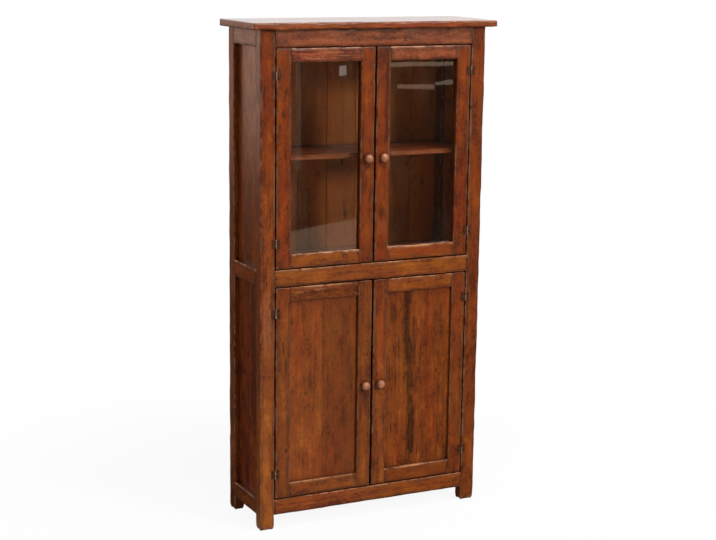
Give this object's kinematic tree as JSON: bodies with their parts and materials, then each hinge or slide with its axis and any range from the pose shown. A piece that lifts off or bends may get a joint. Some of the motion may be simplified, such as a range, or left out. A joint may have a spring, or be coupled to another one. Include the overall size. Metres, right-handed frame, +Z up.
{
  "type": "two-tier display cupboard",
  "caption": "Tall pine storage cupboard with glazed doors above and panelled doors below, framed sides, shelves and a plank back.",
  "frame": {"origin": "on the floor, in the middle of the overall width and depth", "axes": "+X to the right seen from the front, +Y to the back, +Z up; the doors face -Y"},
  "size_m": [0.941, 0.319, 1.8],
  "materials": {
    "frame_wood": "stained and varnished, semi-gloss",
    "top_wood": "stained and varnished, semi-gloss",
    "door_wood": "stained and varnished, semi-gloss",
    "panel_wood": "stained and varnished, semi-gloss",
    "inner_wood": "stained and varnished, semi-gloss",
    "pane_glass": "clear, polished",
    "hinge_metal": "dark antique, satin"
  },
  "bodies": {
    "cabinet": {"front_left_post": "frame_wood", "front_right_post": "frame_wood", "back_left_post": "frame_wood", "back_right_post": "frame_wood", "left_bottom_rail": "frame_wood", "left_middle_rail": "frame_wood", "left_top_rail": "frame_wood", "left_lower_panel": "panel_wood", "left_upper_panel": "panel_wood", "right_bottom_rail": "frame_wood", "right_middle_rail": "frame_wood", "right_top_rail": "frame_wood", "right_lower_panel": "panel_wood", "right_upper_panel": "panel_wood", "front_bottom_rail": "frame_wood", "front_middle_rail": "frame_wood", "front_top_rail": "frame_wood", "back_bottom_rail": "frame_wood", "back_middle_rail": "frame_wood", "back_top_rail": "frame_wood", "lower_deck": "inner_wood", "lower_shelf": "inner_wood", "upper_deck": "inner_wood", "upper_shelf": "inner_wood", "deck_cleats": "inner_wood", "shelf_cleats": "inner_wood", "back_boards": "inner_wood", "top_board": "top_wood", "post_hinge_leaves": "hinge_metal"},
    "upper_left_door": {"upper_left_hinge_stile": "door_wood", "upper_left_meeting_stile": "door_wood", "upper_left_top_rail": "door_wood", "upper_left_bottom_rail": "door_wood", "upper_left_glass": "pane_glass", "upper_left_beads": "door_wood", "upper_left_hinge_leaves": "hinge_metal"},
    "upper_right_door": {"upper_right_hinge_stile": "door_wood", "upper_right_meeting_stile": "door_wood", "upper_right_top_rail": "door_wood", "upper_right_bottom_rail": "door_wood", "upper_right_glass": "pane_glass", "upper_right_beads": "door_wood", "upper_right_hinge_leaves": "hinge_metal"},
    "lower_left_door": {"lower_left_hinge_stile": "door_wood", "lower_left_meeting_stile": "door_wood", "lower_left_top_rail": "door_wood", "lower_left_bottom_rail": "door_wood", "lower_left_panel": "panel_wood", "lower_left_hinge_leaves": "hinge_metal"},
    "lower_right_door": {"lower_right_hinge_stile": "door_wood", "lower_right_meeting_stile": "door_wood", "lower_right_top_rail": "door_wood", "lower_right_bottom_rail": "door_wood", "lower_right_panel": "panel_wood", "lower_right_hinge_leaves": "hinge_metal"}
  },
  "joints": [
    {"name": "upper_left_door_hinge", "type": "hinge", "parent": "cabinet", "child": "upper_left_door", "pos_m": [-0.3805, -0.1355, 1.331], "axis": [0, 0, -1], "range_deg": [0, 180]},
    {"name": "upper_right_door_hinge", "type": "hinge", "parent": "cabinet", "child": "upper_right_door", "pos_m": [0.3805, -0.1355, 1.331], "axis": [0, 0, 1], "range_deg": [0, 180]},
    {"name": "lower_left_door_hinge", "type": "hinge", "parent": "cabinet", "child": "lower_left_door", "pos_m": [-0.3805, -0.1355, 0.498], "axis": [0, 0, -1], "range_deg": [0, 180]},
    {"name": "lower_right_door_hinge", "type": "hinge", "parent": "cabinet", "child": "lower_right_door", "pos_m": [0.3805, -0.1355, 0.498], "axis": [0, 0, 1], "range_deg": [0, 180]}
  ]
}
